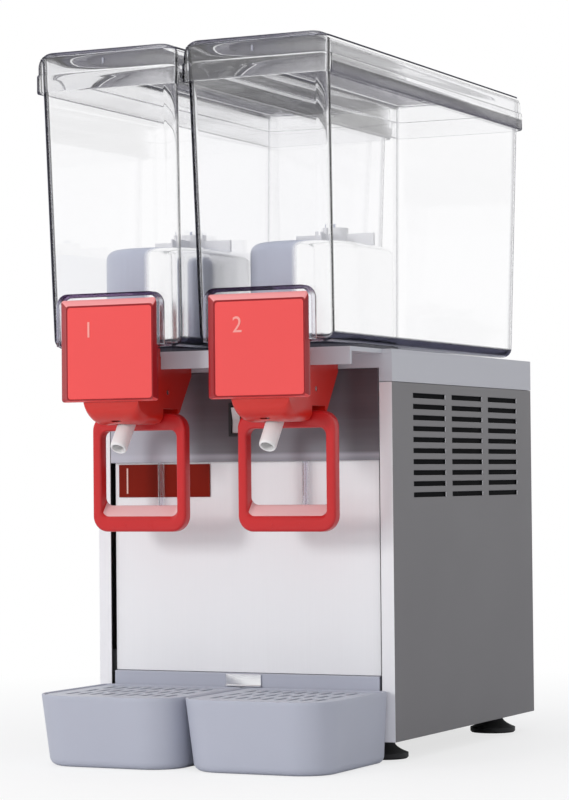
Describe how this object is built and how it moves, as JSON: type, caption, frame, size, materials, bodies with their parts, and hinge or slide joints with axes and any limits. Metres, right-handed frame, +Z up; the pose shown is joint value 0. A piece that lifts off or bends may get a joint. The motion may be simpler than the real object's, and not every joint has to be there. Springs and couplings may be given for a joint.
{
  "type": "juice dispenser",
  "caption": "Refrigerated counter-top juice dispenser with clear lift-off bowls and lids, push-lever taps and pull-out drip trays in front of a vented cabinet.",
  "frame": {"origin": "centre of the footprint, on the counter that the dispenser stands on", "axes": "+Z up, +X to the right of someone who faces the taps, +Y towards the back of the cabinet"},
  "size_m": [0.27, 0.4574, 0.5733],
  "materials": {
    "side_paint": "satin grey paint on sheet steel",
    "front_steel": "satin stainless steel",
    "fascia_steel": "dark satin steel",
    "inner_steel": "zinc-coated steel",
    "deck_plastic": "light grey moulded plastic",
    "clear_plastic": "clear moulded polycarbonate",
    "red_plastic": "bright red moulded plastic",
    "white_plastic": "white moulded plastic",
    "tray_plastic": "blue-grey moulded plastic",
    "grid_plastic": "pale grey moulded plastic",
    "black_plastic": "black moulded plastic",
    "foot_rubber": "black rubber",
    "seal_rubber": "pale grey silicone",
    "plate": "dark red lacquered plate",
    "copper": "copper tube",
    "aluminium": "plain aluminium",
    "black_enamel": "black enamelled steel",
    "magnet": "sintered magnet"
  },
  "bodies": {
    "cabinet": {"base_pan": "inner_steel", "side_panel_left": "side_paint", "side_panel_right": "side_paint", "rear_panel": "side_paint", "front_panel": "front_steel", "label_plate": "plate", "fascia": "fascia_steel", "switch_housing": "black_plastic", "top_deck": "deck_plastic", "foot_front_left": "foot_rubber", "foot_front_right": "foot_rubber", "foot_back_left": "foot_rubber", "foot_back_right": "foot_rubber", "tray_rail": "tray_plastic", "tray_clip": "front_steel", "compressor": "black_enamel", "condenser": "aluminium", "fan_motor": "black_enamel", "pipe_liquid": "copper", "pipe_suction": "copper", "pipe_discharge": "copper", "control_box": "black_plastic", "cable_gland": "black_plastic", "evaporator_left": "front_steel", "bowl_gasket_left": "seal_rubber", "gear_motor_left": "aluminium", "tap_body_left": "red_plastic", "tap_cover_left": "red_plastic", "nozzle_left": "white_plastic", "lever_pin_left": "front_steel", "lever_spring_left": "front_steel", "drain_tube_left": "seal_rubber", "evaporator_right": "front_steel", "bowl_gasket_right": "seal_rubber", "gear_motor_right": "aluminium", "tap_body_right": "red_plastic", "tap_cover_right": "red_plastic", "nozzle_right": "white_plastic", "lever_pin_right": "front_steel", "lever_spring_right": "front_steel", "drain_tube_right": "seal_rubber"},
    "rocker": {"rocker_switch": "white_plastic"},
    "fan": {"fan_blade": "black_plastic"},
    "knob": {"thermostat_knob": "black_plastic"},
    "bowl_left": {"bowl_left": "clear_plastic"},
    "lid_left": {"lid_left": "clear_plastic"},
    "lever_left": {"lever_left": "red_plastic"},
    "piston_left": {"piston_left": "white_plastic"},
    "magnet_left": {"drive_magnet_left": "magnet"},
    "impeller_left": {"impeller_left": "white_plastic"},
    "tray_left": {"drip_tray_left": "tray_plastic"},
    "grid_left": {"drip_grid_left": "grid_plastic"},
    "bowl_right": {"bowl_right": "clear_plastic"},
    "lid_right": {"lid_right": "clear_plastic"},
    "lever_right": {"lever_right": "red_plastic"},
    "piston_right": {"piston_right": "white_plastic"},
    "magnet_right": {"drive_magnet_right": "magnet"},
    "impeller_right": {"impeller_right": "white_plastic"},
    "tray_right": {"drip_tray_right": "tray_plastic"},
    "grid_right": {"drip_grid_right": "grid_plastic"}
  },
  "joints": [
    {"name": "rocker_tilt", "type": "hinge", "parent": "cabinet", "child": "rocker", "pos_m": [-0.005, -0.09865, 0.2765], "axis": [1, 0, 0], "range_deg": [-14, 0]},
    {"name": "fan_spin", "type": "hinge", "parent": "cabinet", "child": "fan", "pos_m": [0.074, 0.07835, 0.19], "axis": [1, 0, 0], "continuous": true},
    {"name": "knob_turn", "type": "hinge", "parent": "cabinet", "child": "knob", "pos_m": [-0.06, 0.21265, 0.215], "axis": [0, 1, 0], "range_deg": [0, 270]},
    {"name": "bowl_left_lift", "type": "slide", "parent": "cabinet", "child": "bowl_left", "axis": [0, 0, 1], "range_m": [0, 0.15]},
    {"name": "lid_left_lift", "type": "slide", "parent": "bowl_left", "child": "lid_left", "axis": [0, 0, 1], "range_m": [0, 0.1]},
    {"name": "lever_left_swing", "type": "hinge", "parent": "cabinet", "child": "lever_left", "pos_m": [-0.0665, -0.15115, 0.2985], "axis": [1, 0, 0], "range_deg": [0, 20], "stiffness_Nm_per_rad": 0.6, "springref_deg": -20.05},
    {"name": "piston_left_stroke", "type": "slide", "parent": "cabinet", "child": "piston_left", "axis": [0, 0, -1], "range_m": [0, 0.0076]},
    {"name": "magnet_left_spin", "type": "hinge", "parent": "cabinet", "child": "magnet_left", "pos_m": [-0.0665, -0.05965, 0.4065], "axis": [0, 0, 1], "continuous": true},
    {"name": "impeller_left_spin", "type": "hinge", "parent": "cabinet", "child": "impeller_left", "pos_m": [-0.0665, -0.05965, 0.4255], "axis": [0, 0, 1], "continuous": true},
    {"name": "tray_left_pull", "type": "slide", "parent": "cabinet", "child": "tray_left", "axis": [0, -1, 0], "range_m": [0, 0.15]},
    {"name": "grid_left_lift", "type": "slide", "parent": "tray_left", "child": "grid_left", "axis": [0, 0, 1], "range_m": [0, 0.1]},
    {"name": "bowl_right_lift", "type": "slide", "parent": "cabinet", "child": "bowl_right", "axis": [0, 0, 1], "range_m": [0, 0.15]},
    {"name": "lid_right_lift", "type": "slide", "parent": "bowl_right", "child": "lid_right", "axis": [0, 0, 1], "range_m": [0, 0.1]},
    {"name": "lever_right_swing", "type": "hinge", "parent": "cabinet", "child": "lever_right", "pos_m": [0.0665, -0.15115, 0.2985], "axis": [1, 0, 0], "range_deg": [0, 20], "stiffness_Nm_per_rad": 0.6, "springref_deg": -20.05},
    {"name": "piston_right_stroke", "type": "slide", "parent": "cabinet", "child": "piston_right", "axis": [0, 0, -1], "range_m": [0, 0.0076]},
    {"name": "magnet_right_spin", "type": "hinge", "parent": "cabinet", "child": "magnet_right", "pos_m": [0.0665, -0.05965, 0.4065], "axis": [0, 0, 1], "continuous": true},
    {"name": "impeller_right_spin", "type": "hinge", "parent": "cabinet", "child": "impeller_right", "pos_m": [0.0665, -0.05965, 0.4255], "axis": [0, 0, 1], "continuous": true},
    {"name": "tray_right_pull", "type": "slide", "parent": "cabinet", "child": "tray_right", "axis": [0, -1, 0], "range_m": [0, 0.15]},
    {"name": "grid_right_lift", "type": "slide", "parent": "tray_right", "child": "grid_right", "axis": [0, 0, 1], "range_m": [0, 0.1]}
  ],
  "couplings": [
    {"joint": "piston_left_stroke", "follows": "lever_left_swing", "m_per_rad": 0.0215},
    {"joint": "impeller_left_spin", "follows": "magnet_left_spin", "ratio": 1},
    {"joint": "piston_right_stroke", "follows": "lever_right_swing", "m_per_rad": 0.0215},
    {"joint": "impeller_right_spin", "follows": "magnet_right_spin", "ratio": 1}
  ]
}
